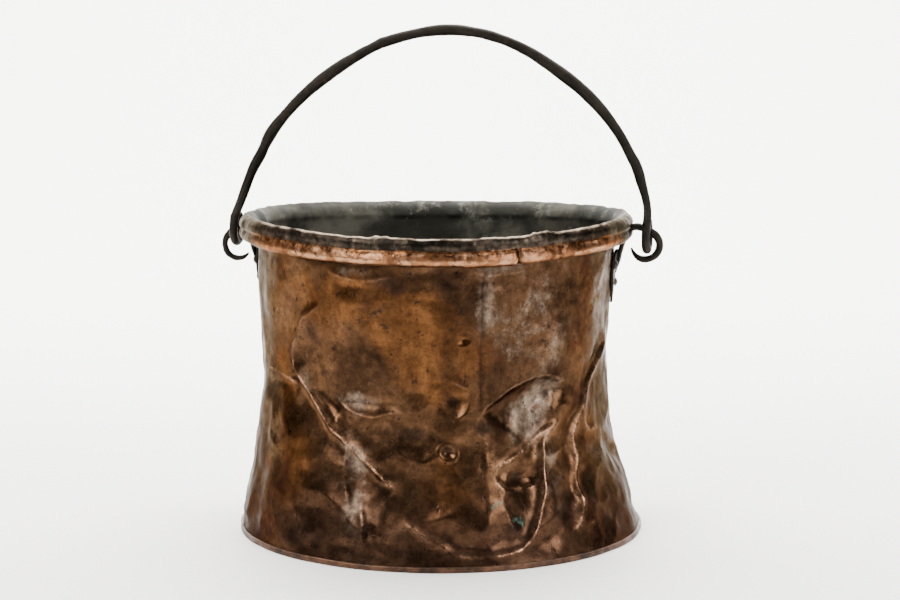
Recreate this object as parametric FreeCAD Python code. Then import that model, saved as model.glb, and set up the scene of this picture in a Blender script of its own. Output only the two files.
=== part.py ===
"""Old hand-made copper kettle with a forged iron bail, as separate pieces.

Frame: millimetres, +Z up, origin at the centre of the foot on the ground. The two ears and the bail's
pivot lie along X, and the front of the kettle faces -Y.
"""

import FreeCAD, Part

import math
import os

V = FreeCAD.Vector
UP = V(0, 0, 1)
PART_FOLDER = "parts"

# Copper sheet
WALL_SHEET = 1.2
BASE_SHEET = 1.4
GAP = 0.2  # left between neighbouring pieces

# Wall: height, how far the centre has drifted along X, and outer radius. It is waisted and leans a little.
WALL_STATIONS = (
    (6.0, 0.0, 157.6),
    (20.0, -1.8, 155.0),
    (40.0, -2.8, 150.2),
    (65.0, -4.2, 144.4),
    (95.0, -5.0, 139.6),
    (130.0, -5.0, 136.6),
    (165.0, -4.8, 137.0),
    (200.0, -4.6, 139.7),
    (226.0, -3.4, 140.8),
)
NECK_Z, RIM_X, NECK_R = WALL_STATIONS[-1]
FOOT_WALL_Z, _, FOOT_WALL_R = WALL_STATIONS[0]

# Lapped side seam, on the front and a little to the right
SEAM_AZIMUTH = 22.0  # from -Y towards +X
SEAM_WIDTH = 12.0

# Rolled rim: the sheet turns outwards over an iron hoop and tucks back under, against the wall
RIM_TOP = 251.0
RIM_R = 154.1
CURL_R = 7.4
CURL_Z = 239.6
ROLL_R = (RIM_R - NECK_R + WALL_SHEET) / 2
ROLL_CENTRE_R = RIM_R - ROLL_R
ROLL_Z = RIM_TOP - ROLL_R
HOOP_WIRE_R = 4.6
NOTCH_HALF_WIDTH = 5.2
NOTCH_FOOT = 228.0
NOTCH_TOP = 243.4
NOTCH_INNER_R = 145.0
NOTCH_OUTER_R = 160.0

# Folded foot seam: the plate's edge is turned up and in over the wall's flange
FOOT_R = 160.6
FOLD_TOP = 4.4
FOOT_EDGE_ROUND = 1.2
FLANGE_Z = BASE_SHEET + GAP

# Ears
PLATE_THICK = 2.4
BAND_HEIGHTS = (176.0, 188.0, 200.0, 212.0, 224.0)  # where the plate is fitted to the wall
BAND_HALF_TURN = 9.0  # degrees about the rim's axis, wider than the plate
PLATE_OUTLINE = ((0, 181.0), (6.0, 188.5), (11.8, 199.5), (15.0, 211.0), (12.0, 219.5), (0, 222.5))
RIVET_SPOTS = {"lower": (0.0, 197.0), "front": (-9.8, 211.5), "rear": (9.8, 211.5)}
RIVET_R = 2.25
RIVET_HOLE_R = 2.35
RIVET_HEAD_R = 3.6
RIVET_HEAD_HEIGHT = 1.9
PEEN_HEIGHT = 1.3
RIVET_PLAY = 0.25  # left under the head, and between wall, burr and peened end
SHANK_SINK = 0.5  # how far the shank runs into its head and its peened end
RIVET_HOLE_LENGTH = 20.0
BURR_R = 5.6
BURR_THICK = 1.0

# Forged bar of each ear, out of the plate, up past the rim and round into a ring: distance from the
# Z axis, height, half-width along Y and half-thickness
EAR_BARS = {
    "right": (
        (137.9, 204.0, 3.0, 1.0),
        (139.1, 210.0, 4.3, 1.7),
        (140.7, 216.5, 4.8, 2.0),
        (142.5, 224.5, 4.6, 2.2),
        (145.0, 232.5, 4.0, 2.5),
        (148.6, 238.2, 3.6, 2.8),
        (153.3, 240.2, 3.3, 3.0),
        (158.7, 239.2, 3.1, 3.1),
        (165.0, 236.6, 3.1, 3.1),
        (170.1, 232.2, 3.1, 3.1),
        (172.1, 226.2, 3.0, 3.0),
        (170.2, 219.6, 3.0, 3.0),
        (165.1, 215.7, 2.9, 2.9),
        (158.8, 214.9, 2.7, 2.7),
        (153.8, 217.4, 2.2, 2.2),
        (151.0, 221.2, 1.6, 1.6),
        (149.9, 224.0, 1.1, 1.1),
    ),
    "left": (
        (146.4, 203.0, 3.0, 1.0),
        (147.9, 208.6, 4.3, 1.7),
        (149.6, 214.6, 4.8, 2.0),
        (151.4, 221.5, 4.5, 2.1),
        (153.6, 230.0, 4.0, 2.3),
        (156.6, 236.4, 3.5, 2.6),
        (160.8, 238.0, 3.0, 2.8),
        (165.6, 235.8, 2.8, 2.8),
        (170.2, 231.6, 2.7, 2.7),
        (173.6, 226.6, 2.7, 2.7),
        (174.3, 220.8, 2.6, 2.6),
        (171.8, 214.8, 2.5, 2.5),
        (167.0, 211.6, 2.4, 2.4),
        (161.6, 211.3, 2.1, 2.1),
        (157.4, 213.1, 1.6, 1.6),
        (155.0, 215.4, 1.1, 1.1),
    ),
}

# Bail
PIVOT_Z = 237.0
BAIL_END_R = 3.6
BAIL_TIP_R = 3.0
EYE_R = 9.4  # radius of the eye's centreline
SECTIONS_PER_LENGTH = 5
OVAL_EXCESS = 0.001  # an ellipse needs one axis longer than the other
EYE_ANGLES = (76, 52, 26, 0, -30, -60, -90, -120, -150, -180)  # round the eye; 0 is its rear
BAIL_EYES = {
    "right": {"x": 162.3, "stretch": 5.0, "turn": 4.0},
    "left": {"x": -164.6, "stretch": 3.3, "turn": 4.0},
}
# Centreline and half-thickness of the bar, from the right eye over the crown to the left eye
BAIL_LINE = (
    (162.1, -8.7, 243.0, 3.6),
    (162.6, -5.6, 252.0, 3.6),
    (161.4, -1.8, 259.8, 3.8),
    (158.8, 0.0, 269.5, 4.1),
    (155.6, 0.0, 280.4, 4.3),
    (149.6, 0.0, 294.1, 4.2),
    (140.9, 0.0, 309.9, 4.3),
    (129.8, 0.0, 325.8, 4.6),
    (115.2, 0.0, 341.9, 5.1),
    (95.6, 0.0, 358.0, 5.2),
    (73.0, 0.0, 373.1, 4.8),
    (54.3, 0.0, 382.5, 4.5),
    (36.0, 0.0, 388.6, 4.3),
    (9.0, 0.0, 392.2, 4.5),
    (-20.0, 0.0, 389.3, 4.5),
    (-46.3, 0.0, 382.3, 4.4),
    (-61.0, 0.0, 374.8, 4.1),
    (-77.5, 0.0, 365.2, 5.0),
    (-100.0, 0.0, 348.9, 4.8),
    (-125.8, 0.0, 324.1, 4.6),
    (-141.5, 0.0, 299.9, 4.5),
    (-150.6, 0.0, 283.4, 4.3),
    (-157.0, 0.0, 267.6, 3.9),
    (-159.6, -1.6, 259.6, 3.8),
    (-161.9, -5.2, 252.2, 3.6),
    (-164.6, -8.5, 244.4, 3.6),
)


def export(name, shape):
    """Writes one node, after making sure that it is whole."""
    if not shape.isValid() or any(s.Volume <= 0 for s in shape.Solids) or not shape.Solids:
        raise ValueError(name + " is not a valid solid")
    shape.exportStep(os.path.join(PART_FOLDER, name + ".step"))
    print("%-20s %d solid(s) %10.1f mm3" % (name, len(shape.Solids), shape.Volume))


def line(a, b):
    return Part.LineSegment(a, b).toShape()


def outline_face(edges):
    return Part.Face(Part.Wire(edges))


def section_point(r, z):
    """A point of a profile that will be turned about the vertical axis."""
    return V(r, 0, z)


def arc(centre_r, centre_z, radius, start_deg, end_deg):
    """Arc of a turned profile, from one angle to another by way of the middle one."""
    points = [
        section_point(
            centre_r + radius * math.cos(math.radians(a)), centre_z + radius * math.sin(math.radians(a))
        )
        for a in (start_deg, (start_deg + end_deg) / 2, end_deg)
    ]
    return Part.Arc(*points).toShape()


def closed_profile(pieces):
    """Face from arcs and corner points in order; straight edges fill the stretches between them."""
    edges, last, first = [], None, None
    for piece in pieces:
        is_edge = isinstance(piece, Part.Shape)
        start = piece.firstVertex(True).Point if is_edge else piece
        end = piece.lastVertex(True).Point if is_edge else piece
        if last is not None and last.distanceToPoint(start) > 1e-6:
            edges.append(line(last, start))
        if is_edge:
            edges.append(piece)
        first = first or start
        last = end
    edges.append(line(last, first))
    return outline_face(edges)


def turned(face, centre_x=0.0):
    solid = face.revolve(V(0, 0, 0), UP, 360)
    solid.translate(V(centre_x, 0, 0))
    return solid


def stack(extra_radius):
    """Smooth solid through the wall's round sections, grown or shrunk by extra_radius."""
    rings = [
        Part.Wire(Part.makeCircle(r + extra_radius, V(x, 0, z), UP)) for z, x, r in WALL_STATIONS
    ]
    return Part.makeLoft(rings, True, False)


def make_rim_roll():
    """The top of the wall, up and over the hoop and back under to the wall."""
    inner = NECK_R - WALL_SHEET
    lip_end = NECK_R + 2 * GAP
    roll_in, curl_in = ROLL_R - WALL_SHEET, CURL_R - WALL_SHEET
    curl_centre = RIM_R - CURL_R
    face = closed_profile(
        [
            section_point(NECK_R, NECK_Z),
            arc(ROLL_CENTRE_R, ROLL_Z, roll_in, 180, 0),
            arc(curl_centre, CURL_Z, curl_in, 0, -90),
            section_point(lip_end, CURL_Z - curl_in),
            section_point(lip_end, CURL_Z - CURL_R),
            arc(curl_centre, CURL_Z, CURL_R, -90, 0),
            arc(ROLL_CENTRE_R, ROLL_Z, ROLL_R, 0, 180),
            section_point(inner, NECK_Z),
        ]
    )
    return turned(face, RIM_X)


def make_foot_flange():
    """The bottom of the wall, turned outwards inside the foot seam."""
    inner = FOOT_WALL_R - WALL_SHEET
    edge = FOOT_R - BASE_SHEET - GAP
    corners = (
        (inner, FOOT_WALL_Z),
        (inner, FLANGE_Z),
        (edge, FLANGE_Z),
        (edge, FLANGE_Z + WALL_SHEET),
        (FOOT_WALL_R, FLANGE_Z + WALL_SHEET),
        (FOOT_WALL_R, FOOT_WALL_Z),
    )
    return turned(closed_profile([section_point(r, z) for r, z in corners]))


def make_side_seam(middle_of_sheet):
    """The lap, a second layer of sheet along the wall, sunk half a sheet into it so that they fuse."""
    band = stack(WALL_SHEET).cut(middle_of_sheet)
    height = NECK_Z - FOOT_WALL_Z
    reach = 2 * FOOT_R
    strip = Part.makeBox(SEAM_WIDTH, reach, height, V(0, -reach, FOOT_WALL_Z))
    strip.rotate(V(0, 0, 0), UP, SEAM_AZIMUTH)
    return band.common(strip)


def ear_notch(side):
    """Room in the underside of the roll where an ear's neck passes."""
    start = RIM_X + NOTCH_INNER_R if side > 0 else RIM_X - NOTCH_OUTER_R
    return Part.makeBox(
        NOTCH_OUTER_R - NOTCH_INNER_R,
        2 * NOTCH_HALF_WIDTH,
        NOTCH_TOP - NOTCH_FOOT,
        V(start, -NOTCH_HALF_WIDTH, NOTCH_FOOT),
    )


def surface_x(solid, side, z):
    """How far the solid reaches along X at this height, on the given side."""
    probe = line(V(0, 0, z), V(side * 2 * FOOT_R, 0, z)).common(solid)
    return probe.BoundBox.XMax if side > 0 else -probe.BoundBox.XMin


def rivet_axis(outside, side, spot):
    """Foot of a rivet on the wall's outer face, and the direction straight out of the wall there."""
    y, z = spot
    radius = surface_x(outside, side, z) - side * RIM_X
    flare = surface_x(outside, side, z + 0.5) - surface_x(outside, side, z - 0.5)
    lean = math.asin(y / radius)
    level = V(side * math.cos(lean), math.sin(lean), 0)
    return V(RIM_X, 0, z) + level * radius, (level - UP * flare).normalize()


def rivet_holes(rivets):
    """Cutters for the holes through the plate and the wall."""
    length = RIVET_HOLE_LENGTH
    return [Part.makeCylinder(RIVET_HOLE_R, length, foot - out * length / 2, out) for foot, out in rivets]


def make_wall(outside, rivets):
    wall = outside.cut(stack(-WALL_SHEET))
    wall = wall.fuse([make_side_seam(stack(-WALL_SHEET / 2)), make_rim_roll(), make_foot_flange()])
    return wall.cut([ear_notch(1), ear_notch(-1), *rivet_holes(rivets)])


def make_base_plate():
    wall_clearance = FOOT_WALL_R + GAP
    round_r = FOOT_EDGE_ROUND
    face = closed_profile(
        [
            section_point(0, 0),
            arc(FOOT_R - round_r, round_r, round_r, -90, 0),
            arc(FOOT_R - round_r, FOLD_TOP - round_r, round_r, 0, 90),
            section_point(wall_clearance, FOLD_TOP),
            section_point(wall_clearance, FOLD_TOP - BASE_SHEET),
            section_point(FOOT_R - BASE_SHEET, FOLD_TOP - BASE_SHEET),
            section_point(FOOT_R - BASE_SHEET, BASE_SHEET),
            section_point(0, BASE_SHEET),
        ]
    )
    return turned(face)


def make_hoop():
    z = ROLL_Z + ROLL_R - WALL_SHEET - GAP - HOOP_WIRE_R
    return Part.makeTorus(ROLL_CENTRE_R, HOOP_WIRE_R, V(RIM_X, 0, z), UP)


def oval(centre, heading, half_width, half_thick):
    """Oval wire across a bar that runs in a plane of constant Y; its long axis lies along Y."""
    across = heading.cross(V(0, 1, 0)).normalize()
    half_width = max(half_width, half_thick + OVAL_EXCESS)
    edge = Part.Ellipse(
        centre + V(0, 1, 0) * half_width, centre + across * half_thick, centre
    ).toShape()
    return Part.Wire(edge)


def plate_band(outside, side):
    """Sheet that hugs the wall at an ear, wider and taller than the ear's plate."""
    near = [V(side * (surface_x(outside, side, z) + GAP), 0, z) for z in BAND_HEIGHTS]
    far = [point + V(side * PLATE_THICK, 0, 0) for point in reversed(near)]
    face = Part.Face(Part.makePolygon(near + far + near[:1]))
    face.rotate(V(RIM_X, 0, 0), UP, -BAND_HALF_TURN)
    return face.revolve(V(RIM_X, 0, 0), UP, 2 * BAND_HALF_TURN)


def leaf_block(side):
    """Everything within the plate's outline, seen from straight outside."""
    start = V(min(0, side * FOOT_R), 0, 0)
    mirrored = [(-y, z) for y, z in reversed(PLATE_OUTLINE[1:-1])]
    curve = Part.BSplineCurve()
    curve.interpolate([start + V(0, y, z) for y, z in [*PLATE_OUTLINE, *mirrored]], PeriodicFlag=True)
    return Part.Face(Part.Wire(curve.toShape())).extrude(V(FOOT_R, 0, 0))


def bar_tangent(points, i):
    return (points[min(i + 1, len(points) - 1)] - points[max(i - 1, 0)]).normalize()


def make_ear(outside, side, bar, rivets):
    """One forged ear: a plate on the wall, and a bar that clears the rim and curls into a ring."""
    plate = plate_band(outside, side).common(leaf_block(side))
    points = [V(side * x, 0, z) for x, z, _, _ in bar]
    wires = [
        oval(points[i], bar_tangent(points, i), half_width, half_thick)
        for i, (_, _, half_width, half_thick) in enumerate(bar)
    ]
    ear = plate.fuse(Part.makeLoft(wires, True, False))
    return ear.cut(rivet_holes(rivets)).removeSplitter()


def make_rivet(foot, outward):
    """Domed head on the plate, shank through plate, wall and burr, and a low peened end inside."""
    head = GAP + PLATE_THICK + RIVET_PLAY
    peen = -WALL_SHEET - BURR_THICK - 2 * RIVET_PLAY
    length = head - peen + 2 * SHANK_SINK
    shank = Part.makeCylinder(RIVET_R, length, foot + outward * (peen - SHANK_SINK), outward)
    dome = cap(RIVET_HEAD_R, RIVET_HEAD_HEIGHT, foot + outward * head, outward)
    inner_end = cap(RIVET_HEAD_R, PEEN_HEIGHT, foot + outward * peen, outward * -1)
    return shank.fuse([dome, inner_end]).removeSplitter()


def cap(radius, height, centre, direction):
    """Part of a ball, standing on a flat face at centre."""
    ball_r = (radius * radius + height * height) / (2 * height)
    ball = Part.makeSphere(ball_r, centre - direction * (ball_r - height))
    slab = Part.makeCylinder(2 * radius, 2 * height, centre, direction)
    return ball.common(slab)


def make_burr(foot, outward):
    """Round copper washer under the rivet's inner end."""
    start = foot - outward * (WALL_SHEET + RIVET_PLAY + BURR_THICK)
    washer = Part.makeCylinder(BURR_R, BURR_THICK, start, outward)
    return washer.cut(Part.makeCylinder(RIVET_HOLE_R, 3 * BURR_THICK, start - outward, outward))


def eye_points(x, stretch, turn):
    """Centreline of one end of the bail: from its tip, round under the ear's ring, and up in front of it."""
    points = []
    for angle in EYE_ANGLES:
        y = EYE_R * math.cos(math.radians(angle))
        z = EYE_R * math.sin(math.radians(angle))
        if angle > 0:
            points.append(V(x, y, PIVOT_Z + z))
        else:
            points.append(V(x, y, PIVOT_Z - stretch + z))
    lean = math.radians(turn)
    return [V(p.x + p.y * math.sin(lean), p.y * math.cos(lean), p.z) for p in points]


def make_bail():
    """The whole bail: an eye, the arch over the mouth, and the other eye, in smooth lengths of bar."""
    right, left = (eye_points(**BAIL_EYES[name]) for name in ("right", "left"))
    arch = [V(x, y, z) for x, y, z, _ in BAIL_LINE]
    points = right + arch + list(reversed(left))
    eye_radii = [BAIL_TIP_R] + [BAIL_END_R] * (len(right) - 1)
    radii = eye_radii + [row[-1] for row in BAIL_LINE] + list(reversed(eye_radii))
    start_dir = V(1, 0, 0)
    wires = []
    for i, (point, radius) in enumerate(zip(points, radii)):
        heading = bar_tangent(points, i)
        start_dir = (start_dir - heading * start_dir.dot(heading)).normalize()
        other = heading.cross(start_dir)
        circle = Part.Ellipse(point + start_dir * (radius + OVAL_EXCESS), point + other * radius, point)
        wires.append(Part.Wire(circle.toShape()))
    lengths = range(0, len(wires) - 1, SECTIONS_PER_LENGTH)
    bars = [Part.makeLoft(wires[i : i + SECTIONS_PER_LENGTH + 1], True, False) for i in lengths]
    return bars[0].fuse(bars[1:])


def main():
    os.makedirs(PART_FOLDER, exist_ok=True)
    outside = stack(0.0)
    sides = {"left": -1, "right": 1}
    rivets = {
        name: {spot: rivet_axis(outside, side, place) for spot, place in RIVET_SPOTS.items()}
        for name, side in sides.items()
    }
    all_axes = [axis for spots in rivets.values() for axis in spots.values()]
    export("body_wall", make_wall(outside, all_axes))
    export("base_plate", make_base_plate())
    export("rim_hoop", make_hoop())
    for name, side in sides.items():
        export(name + "_ear", make_ear(outside, side, EAR_BARS[name], rivets[name].values()))
        for spot, (foot, outward) in rivets[name].items():
            export(name + "_rivet_" + spot, make_rivet(foot, outward))
            export(name + "_burr_" + spot, make_burr(foot, outward))
    export("bail_handle", make_bail())


main()
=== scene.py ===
import math

import bpy
import numpy as np
from mathutils import Matrix, Vector, noise


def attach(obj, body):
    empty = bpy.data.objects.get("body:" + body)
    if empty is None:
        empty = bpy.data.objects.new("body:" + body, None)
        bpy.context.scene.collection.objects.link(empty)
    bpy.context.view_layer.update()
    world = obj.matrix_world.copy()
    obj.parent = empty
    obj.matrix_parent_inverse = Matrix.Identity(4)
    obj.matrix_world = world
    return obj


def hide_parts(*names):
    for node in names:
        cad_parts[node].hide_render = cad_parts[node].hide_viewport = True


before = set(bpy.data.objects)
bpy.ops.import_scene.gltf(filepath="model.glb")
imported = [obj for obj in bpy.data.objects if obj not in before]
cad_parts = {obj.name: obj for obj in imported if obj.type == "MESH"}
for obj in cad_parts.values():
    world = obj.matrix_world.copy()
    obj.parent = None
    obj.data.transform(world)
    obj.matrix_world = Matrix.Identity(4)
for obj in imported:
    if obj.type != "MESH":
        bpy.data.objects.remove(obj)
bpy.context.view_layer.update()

# ---------------------------------------------------------------- sizes, in mm and degrees
MM = 0.001
SHOWN_TURN = math.radians(8.0)  # the side shown is turned this far from -Y, towards +X
SHOWN_MATRIX = Matrix.Rotation(SHOWN_TURN, 4, "Z")

# Wall: height, drift of the centre along X, outer radius
STATIONS = (
    (0.0, 0.0, 159.0),
    (6.0, 0.0, 157.6),
    (20.0, -1.8, 155.0),
    (40.0, -2.8, 150.2),
    (65.0, -4.2, 144.4),
    (95.0, -5.0, 139.6),
    (130.0, -5.0, 136.6),
    (165.0, -4.8, 137.0),
    (200.0, -4.6, 139.7),
    (226.0, -3.4, 140.8),
    (252.0, -3.4, 141.4),
)
SHEET = 1.2
RIM_TOP, RIM_R, ROLL_R = 251.0, 154.1, 7.25  # the rolled rim's crest, outer radius and own radius
LIP_Z = 232.2  # the underside of the roll
BEAD_R, BEAD_Z, BEAD_HALF = 148.6, 237.2, (5.4, 5.1)  # the bead along the lip
BAND_Z = 242.4  # where the bead stops and the rim's flat band starts

# The rim's outline, from its underside over the band and the crest to its inside: radius, height
LIP_TURN = ((141.9, LIP_Z + 2.6), (142.2, LIP_Z + 0.6), (143.6, LIP_Z - 0.1))
BAND_LINE = (
    (151.4, 242.5), (151.3, 243.2), (151.7, 244.8), (151.7, 246.6), (151.2, 248.3), (150.3, 249.7),
)
CREST_LINE = (
    (149.4, 250.6), (148.4, 251.0), (147.4, 250.9), (146.4, 250.3), (144.4, 248.8), (142.4, 246.6),
)
INNER_LINE = ((140.9, 244.0), (139.9, 241.2), (139.7, 239.0))
BAND_MIN_R = 148.0  # above the bead, points of the outline beyond this radius are rounder at the sides
CREST_INNER_R = (147.6, 146.6)  # radii over which the rim's outside look gives way to the inside's
SEAM_AT, SEAM_LEAN = 15.0, 3.0  # the side seam's azimuth, and how far it drifts at the foot
SEAM_STEPS, SEAM_SOFT, SEAM_FADE = (0.2, 1.8), 0.8, 16  # its step low down and high up, its edge, its fade
SEAM_LINE, SEAM_DARKNESS = (-1.2, 1.3), (0.25, 1.0)  # its dark line: place and half-width; dark low and high
LIP_LAP = (7.0, 22.3)  # where the lip's sheet laps over itself, azimuths
LAP_SOFT, LAP_SHARP = 1.5, 0.3  # how gently the lap starts and how sharply it stops, in degrees
LIP_BREAKS, LIP_BREAK_WIDTH = ((LIP_LAP[1] + 0.8, 1.0), (37.0, 0.7)), 0.6  # breaks: azimuth, strength
LIP_PATCH, LIP_TUCK, LIP_NOTCH = 1.1, 0.8, 1.5  # how far the lap stands out and down; the breaks' depth
BEAD_SAG = 1.9  # how far the bead hangs down at the front
RIM_DROP = 6.9  # how much lower the rim is at the front and back than over the ears
BACK_DROP_LESS = 0.38  # the share of that drop which the back doesn't have
RIM_WAVES = ((0.495, 5, 40), (0.33, 9, -70))  # depth, waves round the rim, phase
RIM_KNOCKS = ((-98, 5.5, -3.6), (-80, 6.0, 1.6))  # azimuth, half-width, how far it is pushed out
TORN_FLAPS = ((27, 29, 35, 38), (-20, -18, -14, -12))  # azimuths over which the crest rises and falls again
HOOP_X, HOOP_Z, HOOP_WIRE_R = -3.4, 244.0, 3.3  # slimmer than the CAD hoop, so that the rim covers it better
HOOP_FOLLOWS = 245.0  # the hoop takes the rim's sag and knocks at this height
FOOT_R, PLATE = 160.6, 1.4  # the base plate's radius and sheet
FOLD_TOP, FOLD_ROUND, FOLD_INNER_R = 4.4, 1.2, 157.7  # its folded edge
FOLD_RISE = (1.5, 4)  # heights over which the folded edge becomes uneven upwards
FOOT_WAVES = ((0.35, 3, math.radians(20)), (0.25, 11, 0.0))  # depth, waves round the foot, phase
FOOT_WAVES_OUT, FOOT_WAVES_UP = 0.3, 0.35  # how much of those waves goes outwards and upwards
FOOT_KNOCK, FOOT_KNOCKS, FOOT_KNOCK_EDGE = 0.5, 7.3, 9  # its knocks: depth, number in half a turn, sharpness
FOOT_IN, FOOT_DOWN = 0.25, 0.1  # keep the uneven edge inside the CAD base plate's box
FOOT_UNEVEN_FROM = (140, 158)  # radii over which the foot becomes uneven
FOOT_TINNED = (FOLD_INNER_R - 0.2, 1.0)  # the base plate is tinned inside this radius and above this height

FRONT_TO = (120, 50)  # azimuths over which the bead's sag at the front fades out, outer end first
SIDES_FROM = (44, 74)  # azimuths over which the sides' look comes in
BACK_FROM = (60, 120)  # azimuths over which the back's smaller drop comes in

# Rows and columns of the wall's mesh
FINE_COLUMNS, BACK_COLUMNS = (-100, 100, 0.55), (100, 260, 1.1)
FOOT_ROWS, OUTER_STEP = (2.9, 30, 1.1), 1.35
INNER_ROWS = (238, 1.8, -3.2)

# Roughness: how fast finer noise weakens, how much finer each octave is; then size of waves, seed, octaves
ROUGH_FALLOFF, ROUGH_STEP = 0.9, 2.1
SLOW_WAVES, QUICK_WAVES = (46, 3, 3), (13, 8, 2)
RIM_LUMPS, RIM_BENDS = (11, 21, 3), (30, 27, 2)
CREASE_WANDER, CREASE_UNEVEN, CRUMPLE = (38, 31, 2), (34, 37, 2), (44, 53, 2)
SLOW_DEPTH, QUICK_DEPTH, CRUMPLE_DEPTHS = 1.5, 0.36, (1.19, 3.4)  # crumple: high up and low down
LUMP_DEPTH, BEND_DEPTH, BEND_RISE, RAGGED_SINK = 0.6, 0.7, 0.6, 0.6
TORN_RISE, TORN_LUMPS = 1.0, 1.6  # how high the torn flaps stand, and how uneven they are
INNER_SHARE = 0.3  # the inside of the rim has this share of its roughness

# Heights over which something comes in or goes out
DAMAGE_FROM, DAMAGE_TO = (2.5, 16), (224, 236)  # dents
CRUMPLED_BELOW = (165, 105)
RIM_DROP_FROM, KNOCKS_FROM, RAGGED_FROM = (90, 240), (222, 236), (228, 236)
TORN_FROM, CREST_WORN_FROM = (248, 250.5), (250.2, 250.8)
BEAD_SAG_BELOW, BEAD_BELOW = (BAND_Z + 1, BAND_Z - 4), (BAND_Z + 0.5, BAND_Z - 1.5)
LIP_TUCK_BELOW = (240, 234)
BROWN_BELOW, CRUST_FROM, BAND_FROM = (95, 15), (238.2, 240.6), (242.0, 242.7)  # colours
SEAM_LEAN_BELOW, SEAM_STEP_FROM, SEAM_LINE_FROM = (60, 0), (100, 185), (95, 150)
LIP_EDGES = ((236.0, 2.6, 1.0), (240.5, 0.9, 0.7))  # the bead's worn lines: height, half-width, strength


def lookup(z, column):
    """Smooth reading of the wall's table at heights z."""
    table = np.array(STATIONS)
    heights, values = table[:, 0], table[:, column]
    slopes = np.gradient(values, heights)
    i = np.clip(np.searchsorted(heights, z) - 1, 0, len(heights) - 2)
    step = heights[i + 1] - heights[i]
    t = np.clip((z - heights[i]) / step, 0, 1)
    h00, h10 = 2 * t**3 - 3 * t**2 + 1, t**3 - 2 * t**2 + t
    h01, h11 = -2 * t**3 + 3 * t**2, t**3 - t**2
    return h00 * values[i] + h10 * step * slopes[i] + h01 * values[i + 1] + h11 * step * slopes[i + 1]


def smooth(low, high, x):
    """A smooth step from 0 at low to 1 at high, which may be the smaller of the two."""
    t = np.clip((x - low) / (high - low), 0, 1)
    return t * t * (3 - 2 * t)


def between(low, high, share):
    return low + (high - low) * share


def bell(x, centre, half_width):
    """1 at the centre, falling away smoothly on both sides."""
    return np.exp(-(((x - centre) / half_width) ** 2))


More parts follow.
